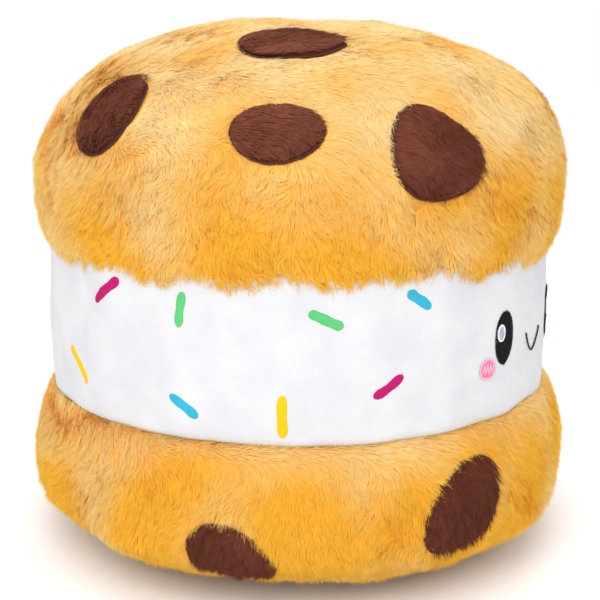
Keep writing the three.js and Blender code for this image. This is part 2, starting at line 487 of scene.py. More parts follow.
@dataclass
class StuffedSurface:
    """A closed uneven surface about the upright axis, walked by azimuth and length up its outline."""

    outline: Array
    swell: float
    swell_wave: float
    dents: tuple[Dent, ...] = ()
    seed: int = 1
    seam: float = -1.0
    seam_reach: float = 70 * MM
    lengths: Array = field(init=False)
    relief: Array = field(init=False)

    def __post_init__(self) -> None:
        """Measures the outline and draws its unevenness."""
        self.relief = np.zeros((2, 2))
        steps = np.linalg.norm(np.diff(self.outline, axis=0), axis=1)
        self.outline = self.outline[np.concatenate([[True], steps > 1e-7])]
        steps = np.linalg.norm(np.diff(self.outline, axis=0), axis=1)
        self.lengths = np.concatenate([[0], np.cumsum(steps)])
        self.broad = Waves(self.swell_wave, self.seed)
        self.fine = Waves(self.swell_wave * FINE_WAVE, self.seed + 1)

    @property
    def total(self) -> float:
        """The outline's whole length."""
        return float(self.lengths[-1])

    def radius_at(self, length: Array) -> Array:
        """Returns the outline's radius at lengths along it."""
        return np.interp(length, self.lengths, self.outline[:, 0])

    def height_at(self, length: Array) -> Array:
        """Returns the outline's height at lengths along it."""
        return np.interp(length, self.lengths, self.outline[:, 1])

    def _smooth(self, azimuth: Array, length: Array) -> tuple[Array, Array]:
        """Places points on the surface before it swells.

        Args:
            azimuth: Angles about the axis from the face's side.
            length: Lengths up the outline.

        Returns:
            Points and normals of the even surface.
        """
        reach = 0.5 * MM
        low = np.maximum(length - reach, 0)
        high = np.minimum(length + reach, self.total)
        rise = self.height_at(high) - self.height_at(low)
        spread = self.radius_at(high) - self.radius_at(low)
        size = np.maximum(np.hypot(rise, spread), 1e-12)
        radius = self.radius_at(length)
        z = self.height_at(length)
        side, front = np.sin(azimuth), -np.cos(azimuth)
        points = np.stack([radius * side, radius * front, z], axis=-1)
        normals = np.stack([rise / size * side, rise / size * front, -spread / size], axis=-1)
        return points, normals

    def _relief_at(self, azimuth: Array, length: Array) -> Array:
        """Reads the relief between the grid's rows and columns.

        Args:
            azimuth: Angles about the axis.
            length: Lengths up the outline.

        Returns:
            How far stuffing has pushed the cloth out.
        """
        rows, columns = self.relief.shape
        row = np.clip(length / self.total, 0, 1) * (rows - 1)
        column = (azimuth / (2 * math.pi)) % 1.0 * columns
        row_below = np.minimum(np.floor(row).astype(int), rows - 2)
        column_before = np.floor(column).astype(int) % columns
        up, on = row - row_below, column - np.floor(column)
        column_after = (column_before + 1) % columns
        low = self.relief[row_below, column_before] * (1 - on) + self.relief[row_below, column_after] * on
        high = self.relief[row_below + 1, column_before] * (1 - on)
        high = high + self.relief[row_below + 1, column_after] * on
        return low * (1 - up) + high * up

    def points(self, azimuth: Array, length: Array, lift: Array | float = 0.0) -> Array:
        """Places points on the uneven surface.

        Args:
            azimuth: Angles about the axis.
            length: Lengths up the outline.
            lift: How far the points stand off the surface.

        Returns:
            The points.
        """
        points, normals = self._smooth(azimuth, length)
        rise = self.swell * (self.broad.at(points) + FINE_WAVE * self.fine.at(points)) / 1.4
        rise = rise + self._relief_at(azimuth, length)
        if self.seam >= 0:
            away = np.abs(length - self.seam) / self.seam_reach
            rise = rise * np.clip(SEAM_SWELL + (1 - SEAM_SWELL) * away, 0, 1)
        for dent in self.dents:
            centre = np.array([math.sin(dent.azimuth), -math.cos(dent.azimuth)])
            centre = centre * np.interp(dent.z, self.outline[:, 1], self.outline[:, 0])
            away = np.hypot(points[..., 0] - centre[0], points[..., 1] - centre[1])
            away = np.hypot(away, points[..., 2] - dent.z)
            rise = rise - dent.depth * np.exp(-((away / dent.radius) ** 2))
        return points + normals * (rise + lift)[..., None]

    def frame_at(self, azimuth: Array, length: Array) -> tuple[Array, Array, Array]:
        """Measures the uneven surface at places.

        Args:
            azimuth: Angles about the axis.
            length: Lengths up the outline.

        Returns:
            Points, outward normals and the unit direction down the outline.
        """
        reach = 1.2 * MM
        points = self.points(azimuth, length)
        up = unit(self.points(azimuth, length + reach) - self.points(azimuth, length - reach))
        radius = np.maximum(self.radius_at(length), 4 * MM)
        turn = reach / radius
        side = unit(self.points(azimuth + turn, length) - self.points(azimuth - turn, length))
        return points, unit(np.cross(side, up)), -up

    def places_of(self, points: Array) -> tuple[Array, Array]:
        """Finds the surface's places nearest to points.

        Args:
            points: One point a row.

        Returns:
            Azimuths and lengths up the outline.
        """
        length = np.linspace(0, self.total, 1200)
        samples = np.stack([self.radius_at(length), self.height_at(length)])
        radius = np.hypot(points[:, 0], points[:, 1])
        gap = (radius[:, None] - samples[0]) ** 2 + (points[:, 2][:, None] - samples[1]) ** 2
        return np.arctan2(points[:, 0], -points[:, 1]), length[gap.argmin(axis=1)]


@dataclass(frozen=True)
class Stuffing:
    """Cloth simulation that blows a body up from inside while its seams are held."""

    pressure: float = 4.0
    growth: float = 0.02
    frames: int = 16
    quality: int = 3
    mass: float = 0.3
    stiffness: float = 15.0

    def fill(self, body: bpy.types.Object, held: Array, cap: float) -> Array:
        """Stuffs a body.

        Args:
            body: The cloth body.
            held: The numbers of the points that the seams hold.
            cap: The furthest that a point may move.

        Returns:
            How far every point moved.
        """
        seams = body.vertex_groups.new(name="seams")
        seams.add(held.tolist(), 1.0, "REPLACE")
        cloth = body.modifiers.new("stuffing", "CLOTH")
        cloth.settings.quality = self.quality
        cloth.settings.mass = self.mass
        cloth.settings.tension_stiffness = self.stiffness
        cloth.settings.compression_stiffness = self.stiffness
        cloth.settings.use_pressure = True
        cloth.settings.uniform_pressure_force = self.pressure
        cloth.settings.shrink_min = -self.growth
        cloth.settings.vertex_group_mass = seams.name
        cloth.settings.effector_weights.gravity = 0.0
        cloth.collision_settings.use_collision = False
        scene = bpy.context.scene
        for frame_number in range(1, self.frames + 1):
            scene.frame_set(frame_number)
        stuffed = body.evaluated_get(bpy.context.evaluated_depsgraph_get())
        moved = mesh_points(stuffed.data) - mesh_points(body.data)
        body.modifiers.remove(cloth)
        body.vertex_groups.remove(seams)
        scene.frame_set(1)
        size = np.linalg.norm(moved, axis=1, keepdims=True)
        return moved * np.minimum(1.0, cap / np.maximum(size, 1e-9))


@dataclass
class StuffedBody:
    """The cloth body of one stuffed piece."""

    name: str
    node: str
    slot: str
    surface: StuffedSurface
    fill: float
    seams: tuple[float, ...]
    shown: tuple[float, float]
    cap: float = 2 * MM
    stuffing: Stuffing = Stuffing()
    segments: int = 144
    rings: int = 90
    hold: float = 0.6
    smoothing: int = 2
    finer: int = 1

    def build(self, material: bpy.types.Material) -> bpy.types.Object:
        """Makes the cloth body and stuffs it.

        Args:
            material: The cloth.

        Returns:
            The closed body, which stands for its node.
        """
        body, azimuth, share = self._cut(1)
        length = share * self.surface.total
        apart = np.min([np.abs(length - seam) for seam in self.seams], axis=0)
        held = np.flatnonzero(apart < self.hold * self.surface.total / self.rings)
        moved = self.stuffing.fill(body, held, self.cap)
        _, normals, _ = self.surface.frame_at(azimuth, length)
        self._keep_relief(azimuth, share, (moved * normals).sum(axis=1))
        LOG.info("%s: stuffed, moved by up to %.1f mm", self.name, np.abs(moved).max() / MM)
        bpy.data.objects.remove(body, do_unlink=True)
        body, _, _ = self._cut(self.finer)
        bpy.ops.object.shade_smooth()
        body.data.materials.append(material)
        finish_piece(body, self.slot, self.node)
        return body

    def _cut(self, finer: int) -> tuple[bpy.types.Object, Array, Array]:
        """Makes the closed cloth on the surface.

        Args:
            finer: How many times finer than the stuffed cloth it is round the toy.

        Returns:
            The body, and each point's azimuth and share of the way up the outline.
        """
        bpy.ops.object.select_all(action="DESELECT")
        segments = self.segments * finer
        bpy.ops.mesh.primitive_uv_sphere_add(segments=segments, ring_count=self.rings, radius=1.0)
        body = bpy.context.active_object
        body.name = self.name
        body.data.name = self.name
        ball = mesh_points(body.data)
        share = np.arccos(np.clip(-ball[:, 2], -1, 1)) / math.pi
        azimuth = np.arctan2(ball[:, 0], -ball[:, 1])
        shaped = self.surface.points(azimuth, share * self.surface.total)
        body.data.vertices.foreach_set("co", shaped.astype(np.float32).ravel())
        body.data.update()
        return body, azimuth, share

    def _keep_relief(self, azimuth: Array, share: Array, rise: Array) -> None:
        """Stores the rise on a grid of rows up the outline and columns round it.

        Args:
            azimuth: Each point's azimuth.
            share: Its share of the way up the outline.
            rise: How far it rose.
        """
        grid = np.zeros((self.rings + 1, self.segments))
        row = np.round(share * self.rings).astype(int)
        column = np.round(azimuth / (2 * math.pi) * self.segments).astype(int) % self.segments
        grid[row, column] = rise
        grid[0], grid[-1] = grid[0].mean(), grid[-1].mean()
        low, high = (round(end / self.surface.total * self.rings) for end in self.shown)
        grid = grid - grid[low : high + 1].mean()
        LOG.info("%s: rises by %.2f mm round the mean", self.name, grid[low : high + 1].std() / MM)
        for _ in range(self.smoothing):
            grid = (np.roll(grid, 1, axis=1) + 2 * grid + np.roll(grid, -1, axis=1)) / 4
            padded = np.concatenate([grid[:1], grid, grid[-1:]])
            grid = (padded[:-2] + 2 * padded[1:-1] + padded[2:]) / 4
        self.surface.relief = grid


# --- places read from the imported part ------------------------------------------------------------


@dataclass
class PatchPlace:
    """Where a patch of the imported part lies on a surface, and its outline on the plane touching there."""

    node: str
    surface: StuffedSurface
    middle: Array = field(init=False)
    axes: Array = field(init=False)
    flat: Array = field(init=False)
    spokes: Array = field(init=False)
    reaches: Array = field(init=False)

    def __post_init__(self) -> None:
        """Reads the node's vertices and measures its outline round its middle."""
        points = mesh_points(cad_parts[self.node].data)
        middle = points.mean(axis=0)
        spot, normal, down = self.surface.frame_at(*self.surface.places_of(middle[None]))
        self.middle = spot[0]
        self.axes = np.stack([np.cross(normal[0], down[0]), -down[0]])
        self.flat = self.flatten(points)
        hull = self.flat[convex_hull_2d([tuple(place) for place in self.flat])]
        angles = np.arctan2(hull[:, 1], hull[:, 0])
        order = np.argsort(angles)
        self.spokes = angles[order]
        self.reaches = np.hypot(hull[:, 0], hull[:, 1])[order]

    def flatten(self, points: Array) -> Array:
        """Returns points as places on the touching plane, x round and y up the outline."""
        return (points - self.middle) @ self.axes.T

    def rim_at(self, angles: Array) -> Array:
        """Returns the outline's reach from the middle at angles."""
        return np.interp(angles, self.spokes, self.reaches, period=2 * math.pi)

    def share_out(self, points: Array) -> Array:
        """Measures how far points lie out from the patch's middle.

        Args:
            points: One point a row.

        Returns:
            Shares of the way out, one on the outline.
        """
        flat = self.flatten(points)
        share = np.hypot(flat[:, 0], flat[:, 1]) / self.rim_at(np.arctan2(flat[:, 1], flat[:, 0]))
        far = np.linalg.norm(points - self.middle, axis=1) > 1.4 * self.reaches.max()
        return np.where(far, np.maximum(share, 2.0), share)

    def places(self, flat: Array) -> tuple[Array, Array]:
        """Finds the surface places nearest to places on the touching plane.

        Args:
            flat: Places on the plane.

        Returns:
            Azimuths and lengths up the outline.
        """
        spots = self.middle + flat.reshape(-1, 2) @ self.axes
        azimuth, length = self.surface.places_of(spots)
        return azimuth.reshape(flat.shape[:-1]), length.reshape(flat.shape[:-1])

    def laid(self, flat: Array, lift: Array | float) -> Array:
        """Returns points on the surface for flat places, raised by a lift."""
        return self.surface.points(*self.places(flat), lift)


# --- pile ----------------------------------------------------------------------------------------


@dataclass(frozen=True)
class Pile:
    """The measures of a pile of strands."""

    length: float
    width: float
    spacing: float
    lean: float
    lean_on_top: float
    tuft: float
    swirl: float
    tangle: float
    calm_on_top: float = 0.55
    tuft_pull: float = 0.5
    lean_most: float = 1.42
    roundness: float = 0.6
    puff: float = 0.35
    scatter: float = 0.06
    seam_short: float = 1.0
    seam_lean: float = 1.0
    seam_reach: float = 1.0 * MM
    ridge: float = 0.6
    underside: float = 0.5
    depth: float = 0.85


# A strand has a ridge corner (0), two lower corners (1, 2) and a tip (3), and five shading normals:
# one for each corner, and one (4) for its underside.
STRAND_FACES = ([0, 1, 3], [1, 2, 3], [2, 0, 3])
STRAND_NORMALS = [0, 1, 3, 4, 4, 4, 2, 0, 3]


@dataclass
class Strands:
    """Grown strands: their corners, their shading normals and colour numbers."""

    edges: Array
    normals: Array
    colours: Array

    def part(self, chosen: Array) -> Strands:
        """Returns only the chosen strands."""
        return Strands(self.edges[chosen], self.normals[chosen], self.colours[chosen])

    def build(self, name: str, material: bpy.types.Material) -> bpy.types.Object:
        """Makes one mesh of narrow spikes, each open at its root inside the cloth.

        Args:
            name: The object's name.
            material: The pile's material.

        Returns:
            The mesh object.
        """
        count, corners, _ = self.edges.shape
        first = np.arange(count)[:, None] * corners
        sides = np.concatenate([first + np.array([face]) for face in STRAND_FACES], axis=1)
        obj = mesh_object(name, self.edges.reshape(-1, 3), [sides.reshape(-1, 3)])
        facing = self.normals[:, STRAND_NORMALS].reshape(-1, 3)
        obj.data.normals_split_custom_set(facing.astype(np.float32))
        add_point_colour(obj, "pile", self.colours.reshape(-1, 3))
        add_point_uv(obj, "OFBake", self._chart(count, corners))
        obj.data.materials.append(material)
        return obj

    @staticmethod
    def _chart(count: int, corners: int) -> Array:
        """Gives each strand its own small cell of the chart.

        Args:
            count: How many strands there are.
            corners: How many corners a strand has.

        Returns:
            One chart place for each corner.
        """
        side = math.ceil(math.sqrt(count))
        number = np.arange(count)
        cell = np.stack([number % side, number // side], axis=-1)[:, None]
        inner = [[0.15, 0.1], [0.5, 0.3], [0.85, 0.1], [0.5, 0.9]]
        return ((cell + np.array(inner)[None]) / side).reshape(-1, 2)


# The pile is gathered in tufts and, more weakly, in broad tufts of this size.
BROAD_TUFT = 3.1
BROAD_PULL = 0.25
# How far a tuft turns about its normal, as a share of a strand's own turn.
TUFT_TURN = 0.9
# A strand's length: its least share, and what its tuft and chance add.
LEAST_LENGTH = 0.75
TUFT_LENGTH = 0.3
STRAND_LENGTH = 0.15
# How much the lean varies between tufts, broad tufts and strands, and its least angle.
TUFT_LEAN = 0.12
BROAD_LEAN = 0.08
STRAND_LEAN = 0.07
LEAST_LEAN = 0.3
# How far a strand rolls about its own length.
ROLL = 0.3
# The sizes of the swirls in the nap, the finer one's strength, and how much the top calms them.
SWIRL_SIZE = 55 * MM
FINE_SWIRL_SIZE = 16 * MM
FINE_SWIRL = 0.6
SWIRL_CALM = 0.6
# The share of its depth of colour that the pile keeps at a seam: a painted highlight that makes the lip's
# pile paler.
SEAM_PAINTED_HIGHLIGHT = 0.4
# The depth of colour gained for each metre along X, Y and Z: painted shade, deeper on the side towards the
# camera's right, which the key lamp lights less, and so towards the face, paler away from it.
PAINTED_SIDE_SHADE = np.array([0.2, -0.35, 0.0])
# How much paler the pile is where it faces up, which is painted light from above, and how deep and wide its
# colour patches are.
PAINTED_TOP_LIGHT = 0.75
PATCH_DEPTH = 0.22
PATCH_SIZE = 70 * MM
# The way the pile of the top is combed: towards the face.
COMB = np.array([-0.25, -0.97, 0.0])


@dataclass
class PileGrower:
    """Grows strands on a surface."""

    surface: StuffedSurface
    pile: Pile
    seed: int
    seam: float = 0.0
    floor: float = 0.4 * MM

    def roots(self, low: float, high: float, thin_below: float = -1.0) -> tuple[Array, Array]:
        """Scatters roots evenly over a zone of the surface.

        Args:
            low: The zone's lower end, as a length up the outline.
            high: Its upper end.
            thin_below: Below this length only one root in four is kept.

        Returns:
            Azimuths and lengths.
        """
        draw = np.random.default_rng(self.seed)
        spacing = self.pile.spacing
        rows = np.arange(low, high, spacing)
        counts = np.maximum(np.round(2 * math.pi * self.surface.radius_at(rows) / spacing), 3).astype(int)
        row = np.repeat(np.arange(len(rows)), counts)
        place = np.arange(len(row)) - np.repeat(np.cumsum(counts) - counts, counts)
        azimuth = 2 * math.pi * (place + draw.uniform(0, 1, len(row))) / counts[row]
        length = rows[row] + spacing * draw.uniform(-0.5, 0.5, len(row))
        keep = (length > thin_below) | (draw.uniform(0, 1, len(row)) < 0.25)
        return azimuth[keep], np.clip(length[keep], 0, self.surface.total)

    def _nap(self, points: Array, normals: Array, down: Array) -> Array:
        """Combs the pile one way on top and down the sides, with a swirl.

        Args:
            points: The roots.
            normals: Their outward normals.
            down: The way down the outline at each.

        Returns:
            The way each strand lies, square to its normal.
        """
        flat = np.clip((normals[:, 2] - 0.1) / 0.4, 0, 1)[:, None]
        lie = down * (1 - flat) + COMB * flat
        lie = unit(lie - normals * (lie * normals).sum(axis=1, keepdims=True))
        turn = self.pile.swirl * Waves(SWIRL_SIZE, self.seed + 3).at(points)
        turn = turn + FINE_SWIRL * self.pile.swirl * Waves(FINE_SWIRL_SIZE, self.seed + 4).at(points)
        turn = turn * (1 - SWIRL_CALM * np.clip(normals[:, 2], 0, 1))
        return turn_about(lie, normals, turn)

    def grow(self, azimuth: Array, length: Array, lift: float = 0.0) -> Strands:
        """Grows one strand from each root.

        Args:
            azimuth: The roots' azimuths.
            length: The roots' lengths up the outline.
            lift: How far the roots stand off the surface.

        Returns:
            The strands.
        """
        pile = self.pile
        draw = np.random.default_rng(self.seed + 1)
        count = len(azimuth)
        points, normals, down = self.surface.frame_at(azimuth, length)
        nap = self._nap(points, normals, down)
        centres, traits = Tufts(pile.tuft, self.seed).nearest(points)
        broad_centres, broad_traits = Tufts(pile.tuft * BROAD_TUFT, self.seed + 7).nearest(points)
        upward = np.clip((normals[:, 2] - 0.1) / 0.5, 0, 1)
        lively = 1 - pile.calm_on_top * upward
        gather = (pile.tuft_pull * lively)[:, None]
        pull = (centres - points) * gather + (broad_centres - points) * gather * BROAD_PULL
        pull = pull - normals * (pull * normals).sum(axis=1, keepdims=True)

        stir = TUFT_TURN * (traits[:, 0] * 2 - 1) + draw.normal(0, 1, count)
        aim = turn_about(nap, normals, pile.tangle * lively * stir)
        reach = LEAST_LENGTH + TUFT_LENGTH * traits[:, 1] + STRAND_LENGTH * draw.uniform(-1, 1, count)
        reach = pile.length * reach
        unlike = TUFT_LEAN * (traits[:, 2] - 0.5) + BROAD_LEAN * (broad_traits[:, 2] - 0.5)
        unlike = unlike + draw.normal(0, STRAND_LEAN, count)
        lean = (pile.lean + (pile.lean_on_top - pile.lean) * upward) * (1 + unlike * lively)
        lean = np.clip(lean, LEAST_LEAN, pile.lean_most)
        depth = self._depth_and_painted_light(points, normals)
        if pile.seam_short < 1:
            away = np.clip(np.abs(length - self.seam) / pile.seam_reach, 0, 1)
            reach = reach * (pile.seam_short + (1 - pile.seam_short) * away)
            lean = lean * (pile.seam_lean + (1 - pile.seam_lean) * away)
            # Near the seam the colour is paler: a painted highlight on the lip.
            depth = depth * (SEAM_PAINTED_HIGHLIGHT + (1 - SEAM_PAINTED_HIGHLIGHT) * away)

        spin = math.pi / 2 + draw.normal(0, ROLL, count)[:, None]
        mound = (pile.puff * lively)[:, None] * (points - centres) / pile.tuft
        base = normals + mound + draw.normal(0, pile.scatter, (count, 3))
        heading = normals * np.cos(lean)[:, None] + aim * np.sin(lean)[:, None]
        across = (np.cross(normals, aim), heading)
        start = points + normals * lift
        edges, facing = self._corners(start, start + heading * reach[:, None] + pull, base, across, spin)
        return Strands(edges, unit(facing), self._colours(depth, traits, broad_traits, draw))

    def _corners(
        self, start: Array, tips: Array, base: Array, across: tuple[Array, Array], spin: Array
    ) -> tuple[Array, Array]:
        """Places the strands' corners and shading normals.

        Args:
            start: The roots.
            tips: The tips.
            base: The way that the pile faces at each root.
            across: Each strand's side direction and its heading.
            spin: How far it is rolled about its length.

        Returns:
            Four corners and five shading normals a strand.
        """
        side, heading = across
        rise = np.cross(heading, side)
        edges = np.empty((len(start), 4, 3))
        facing = np.empty((len(start), 5, 3))
        for corner in range(3):
            turn = spin + 2 * math.pi / 3 * corner
            out = side * np.cos(turn) + self.pile.ridge * rise * np.sin(turn)
            edges[:, corner] = start + out * self.pile.width / 2
            facing[:, corner] = base + out * self.pile.roundness
        edges[:, 3] = tips
        facing[:, 3] = base
        facing[:, 4] = self.pile.underside * base - rise
        edges[:, :, 2] = np.maximum(edges[:, :, 2], self.floor)
        return edges, facing

    def _depth_and_painted_light(self, points: Array, normals: Array) -> Array:
        """Shades the colour from pale on top to saturated on the flanks, in broad patches. The pale top is
        painted light and the deeper side away from the key lamp is painted shade. The patches are the pile's
        own tone.

        Args:
            points: The roots.
            normals: Their outward normals.

        Returns:
            How deep each strand's colour is, from 0 to 1.
        """
        upward = np.clip(normals[:, 2] + 0.1, 0, 1)
        patches = PATCH_DEPTH * Waves(PATCH_SIZE, self.seed + 9).at(points)
        return np.clip(self.pile.depth + points @ PAINTED_SIDE_SHADE - PAINTED_TOP_LIGHT * upward + patches, 0, 1)

    @staticmethod
    def _colours(depth: Array, traits: Array, broad: Array, draw: np.random.Generator) -> Array:
        """Gathers the colour numbers of every corner.

        Args:
            depth: How deep each strand's colour is.
            traits: The random numbers of its tuft.
            broad: Those of its broad tuft.
            draw: The source of its own random number.

        Returns:
            The share along the strand, the strand's tone and the depth of the colour.
        """
        count = len(depth)
        colours = np.empty((count, 4, 3))
        colours[:, :, 0] = np.array([0.0, 0.0, 0.0, 1.0])
        tone = 0.5 * draw.uniform(0, 1, count) + 0.3 * traits[:, 0] + 0.2 * broad[:, 1]
        colours[:, :, 1] = tone[:, None]
        colours[:, :, 2] = depth[:, None]
        return colours


# --- the toy's parts -----------------------------------------------------------------------------

# How deep the laid pile is over the cloth of a cookie.
PILE_DEPTH = 6.0 * MM
STRANDS_A_PIECE = 60000
# How unevenly a cookie is stuffed, and over what distance.
COOKIE_SWELL = 1.6 * MM
COOKIE_WAVE = 110 * MM
# The cookies' long pile and the chips' short one.
LONG_PILE = Pile(
    length=9.5 * MM,
    width=0.8 * MM,
    spacing=0.82 * MM,
    lean=0.9,
    lean_on_top=1.3,
    tuft=5.5 * MM,
    swirl=0.5,
    tangle=0.36,
    calm_on_top=0.7,
    seam_short=0.75,
    seam_lean=0.55,
    seam_reach=14 * MM,
)
SHORT_PILE = Pile(
    length=8.5 * MM,
    width=0.65 * MM,
    spacing=0.66 * MM,
    lean=1.15,
    lean_on_top=1.22,
    tuft=4.5 * MM,
    swirl=0.3,
    tangle=0.16,
    puff=0.3,
)
# The bottom cookie's pile is deeper in colour, and it is thinned on the foot, as far up the outline
# as this.
BOTTOM_DEPTH = 1.05
FOOT_LENGTH = 130 * MM
# How firmly the cookies and the band are stuffed.
COOKIE_FILL = 0.9
BAND_FILL = 0.95
# The chips' colour is deeper by so much at this azimuth, near the face, and within this reach of it: painted
# shade on the chips that are turned away from the key lamp.
CHIP_PAINTED_SHADE = 0.65
MOST_SHADED_CHIP = math.radians(-18)
CHIP_SHADE_REACH = math.radians(24)


@dataclass
class Cookie:
    """A furry stuffed cookie with its chip patches."""

    node: str
    surface: StuffedSurface
    chips: list[str]
    fur_low: float
    fur_high: float
    pile: Pile
    chip_pile: Pile
    seed: int
    thin_below: float = -1.0
    overhang: float = 0.35
    tuck: float = 0.965
    tucked_reach: float = 1.03
    free_reach: float = 0.96

    def build(self, looks: Looks) -> None:
        """Makes the cloth body, its coat and its chips.

        Args:
            looks: The materials.
        """
        seams = (0.0, self.surface.seam, self.surface.total)
        shown = (self.fur_low, self.fur_high)
        name, fill = f"{self.node}_cloth", COOKIE_FILL
        body = StuffedBody(name, self.node, "cookie_fur", self.surface, fill, seams, shown)
        body.build(looks.cookie_cloth)
        places = [PatchPlace(node, self.surface) for node in self.chips]
        self._coat(places, looks)
        for place in places:
            # Chips near that azimuth get a deeper colour: painted shade.
            apart = math.atan2(place.middle[0], -place.middle[1]) - MOST_SHADED_CHIP
            deeper = CHIP_PAINTED_SHADE * math.exp(-((apart / CHIP_SHADE_REACH) ** 2))
            pile = replace(self.chip_pile, depth=self.chip_pile.depth + deeper)
            Chip(place, pile, self.seed + len(place.node)).build(looks)

    def _coat(self, places: list[PatchPlace], looks: Looks) -> None:
        """Grows the long pile everywhere but on the chips, and splits it into pieces.

        Args:
            places: The chips' places.
            looks: The materials.
        """
        grower = PileGrower(self.surface, self.pile, self.seed, self.surface.seam)
        azimuth, length = grower.roots(self.fur_low, self.fur_high, self.thin_below)
        spots = self.surface.points(azimuth, length)
        tucked = np.zeros(len(azimuth), dtype=bool)
        clear = np.ones(len(azimuth), dtype=bool)
        for place in places:
            share = place.share_out(spots)
            clear &= share > self.tuck
            tucked |= share < 1.0
        azimuth, length, tucked = azimuth[clear], length[clear], tucked[clear]
        order = np.argsort(azimuth % (2 * math.pi), kind="stable")
        strands = grower.grow(azimuth[order], length[order])
        crossing = np.zeros(len(order), dtype=bool)
        limit = np.where(tucked[order], self.tucked_reach, self.free_reach)
        for place in places:
            crossing |= place.share_out(strands.edges[:, -1]) < limit
        stays = np.random.default_rng(self.seed + 5).uniform(0, 1, len(order)) < self.overhang
        kept = np.flatnonzero(~crossing | (stays & ~tucked[order]))
        count = math.ceil(len(kept) / STRANDS_A_PIECE)
        for number, chosen in enumerate(np.array_split(kept, count)):
            fur = strands.part(chosen).build(f"{self.node}_cloth_fur_{number + 1}", looks.cookie_pile)
            finish_piece(fur, "cookie_fur")


@dataclass
class Chip:
    """A chip patch: brown cloth, short pile and a stitched edge."""

    place: PatchPlace
    pile: Pile
    seed: int
    lift: float = 3.6 * MM
    rings: int = 10
    spokes: int = 64
    stitch_step: float = 0.9 * MM
    stitch_length: float = 2.4 * MM
    stitch_lift: float = 1.5 * MM
    thread: float = 0.45 * MM
    fringe: float = 1.16
    edge_from: float = 0.88
    edge_drop: float = 1.5

    def build(self, looks: Looks) -> None:
        """Makes the chip's cloth, its pile and its stitches.

        Args:
            looks: The materials.
        """
        self._cloth(looks)
        self._coat(looks)
        self._stitches(looks)

    def _flat(self, angles: Array, share: Array | float) -> Array:
        """Returns flat places at angles, at a share of the way out."""
        reach = self.place.rim_at(angles) * share
        return np.stack([reach * np.cos(angles), reach * np.sin(angles)], axis=-1)

    def _cloth(self, looks: Looks) -> None:
        """Makes the backing as a thin dome that closes down to the cookie's cloth.

        Args:
            looks: The materials.
        """
        angles = np.linspace(-math.pi, math.pi, self.spokes, endpoint=False)
        points = [self.place.laid(np.zeros((1, 2)), self.lift)]
        for ring in range(1, self.rings + 1):
            share = ring / self.rings
            drop = max(0.0, (share - self.edge_from) / (1 - self.edge_from)) ** 2
            lift = self.lift * (1 - self.edge_drop * drop)
            points.append(self.place.laid(self._flat(angles, share), lift))
        spoke = np.arange(self.spokes)
        after = (spoke + 1) % self.spokes
        fan = np.stack([np.zeros_like(spoke), 1 + spoke, 1 + after], axis=-1)
        walls = []
        for ring in range(self.rings - 1):
            inner, outer = 1 + ring * self.spokes, 1 + (ring + 1) * self.spokes
            walls.append(np.stack([inner + spoke, outer + spoke, outer + after, inner + after], axis=-1))
        cloth = mesh_object(f"{self.place.node}_cloth", np.concatenate(points), [fan, *walls])
        cloth.data.materials.append(looks.chip_cloth)
        finish_piece(cloth, "chip_fur")

    def _coat(self, looks: Looks) -> None:
        """Grows the short pile, whose tips fringe the stitched edge.

        Args:
            looks: The materials.
        """
        surface = self.place.surface
        grower = PileGrower(surface, self.pile, self.seed)
        reach = 1.2 * float(self.place.reaches.max())
        middle = float(self.place.places(np.zeros(2))[1])
        azimuth, length = grower.roots(max(0.0, middle - reach), min(surface.total, middle + reach))
        inside = self.place.share_out(surface.points(azimuth, length)) < 1.0
        strands = grower.grow(azimuth[inside], length[inside], lift=self.lift - 0.1 * MM)
        reach_out = self.place.share_out(strands.edges[:, -1])
        fringe = np.random.default_rng(self.seed).uniform(0.99, self.fringe, len(reach_out))
        strands = strands.part(np.flatnonzero(reach_out < fringe))
        fur = strands.build(f"{self.place.node}_pile", looks.chip_pile)
        finish_piece(fur, "chip_fur", self.place.node)

    def _stitches(self, looks: Looks) -> None:
        """Lays a close satin stitch across the chip's outline.

        Args:
            looks: The materials.
        """
        rim = float(self.place.reaches.mean()) * 2 * math.pi
        count = int(rim / self.stitch_step)
        angles = np.linspace(-math.pi, math.pi, count, endpoint=False)
        draw = np.random.default_rng(self.seed)
        half = 0.5 * self.stitch_length / self.place.rim_at(angles) * draw.uniform(0.8, 1.15, count)
        inner = self._flat(angles - 0.3 * half, 1.0 - half)
        outer = self._flat(angles + 0.3 * half, 1.0 + half)
        stitches = Threads(self.place, self.thread, crown=0.5 * MM, lift=self.stitch_lift)
        obj = stitches.build(f"{self.place.node}_stitches", inner, outer, looks.chip_thread)
        finish_piece(obj, "chip_fur")


